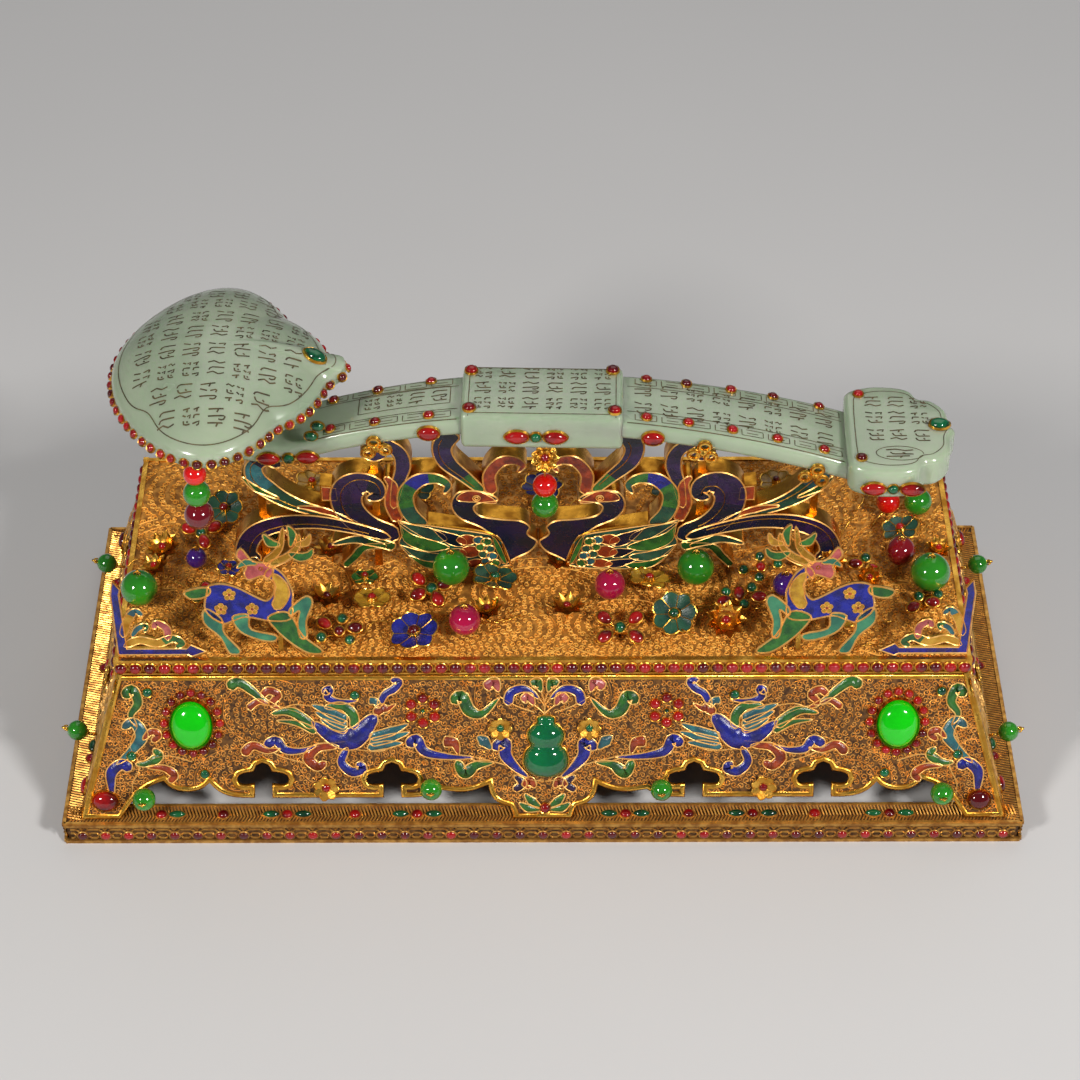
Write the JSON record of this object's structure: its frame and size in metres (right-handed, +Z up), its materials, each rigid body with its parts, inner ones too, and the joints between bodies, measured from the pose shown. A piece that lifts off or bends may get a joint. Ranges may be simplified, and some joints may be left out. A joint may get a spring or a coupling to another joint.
{
  "type": "ruyi sceptre on stand",
  "caption": "Jade ruyi sceptre with a cloud-shaped head, resting on a gilt filigree stand with an openwork phoenix screen, deer, beads and set stones.",
  "frame": {"origin": "middle of the stand's underside, on the surface it stands on", "axes": "+X along the sceptre from its head to its tail, -Y towards the front of the stand, +Z up"},
  "size_m": [0.4454, 0.2136, 0.2155],
  "materials": {
    "gilt_metal": "gilt, satin",
    "gilt_filigree": "gilt wire filigree, darkened in its hollows",
    "pale_jade": "polished",
    "green_jade": "polished",
    "bright_green_stone": "polished",
    "red_stone": "polished",
    "pink_stone": "polished",
    "purple_stone": "polished",
    "navy_enamel": "glossy enamel in gilt cells",
    "cobalt_enamel": "glossy enamel in gilt cells",
    "green_enamel": "glossy enamel in gilt cells"
  },
  "bodies": {
    "root": {"base_frame": "gilt_metal", "cradle_left": "gilt_metal", "cradle_right": "gilt_metal", "cradle_tail": "gilt_metal", "blossom_gold": "gilt_metal", "blossom_pale": "gilt_metal", "deck": "gilt_filigree", "skirt_front": "gilt_filigree", "skirt_back": "gilt_filigree", "skirt_left": "gilt_filigree", "skirt_right": "gilt_filigree", "sceptre": "pale_jade", "bead_green_left": "green_jade", "bead_green_inner_left": "green_jade", "bead_green_inner_right": "green_jade", "bead_green_right": "green_jade", "bead_green_tail": "green_jade", "bead_string_block": "green_jade", "gourd": "green_jade", "pin_bead_front_1": "green_jade", "pin_bead_front_2": "green_jade", "pin_bead_front_3": "green_jade", "pin_bead_front_4": "green_jade", "pin_bead_back_1": "green_jade", "pin_bead_back_2": "green_jade", "pin_bead_left_1": "green_jade", "pin_bead_left_2": "green_jade", "pin_bead_right_1": "green_jade", "pin_bead_right_2": "green_jade", "cabochon_oval_left": "bright_green_stone", "cabochon_oval_right": "bright_green_stone", "bead_string_head": "red_stone", "bead_red_tail": "red_stone", "bead_garnet_right": "red_stone", "cabochon_corner_left": "red_stone", "cabochon_corner_right": "red_stone", "bead_pink_left": "pink_stone", "bead_pink_right": "pink_stone", "bead_purple_left": "purple_stone", "bead_purple_right": "purple_stone", "phoenix_left": "navy_enamel", "phoenix_right": "navy_enamel", "deer_left": "cobalt_enamel", "deer_right": "cobalt_enamel", "spandrel_left": "cobalt_enamel", "spandrel_right": "cobalt_enamel", "blossom_blue": "cobalt_enamel", "blossom_dark": "green_enamel", "blossom_green": "green_enamel"}
  },
  "joints": []
}
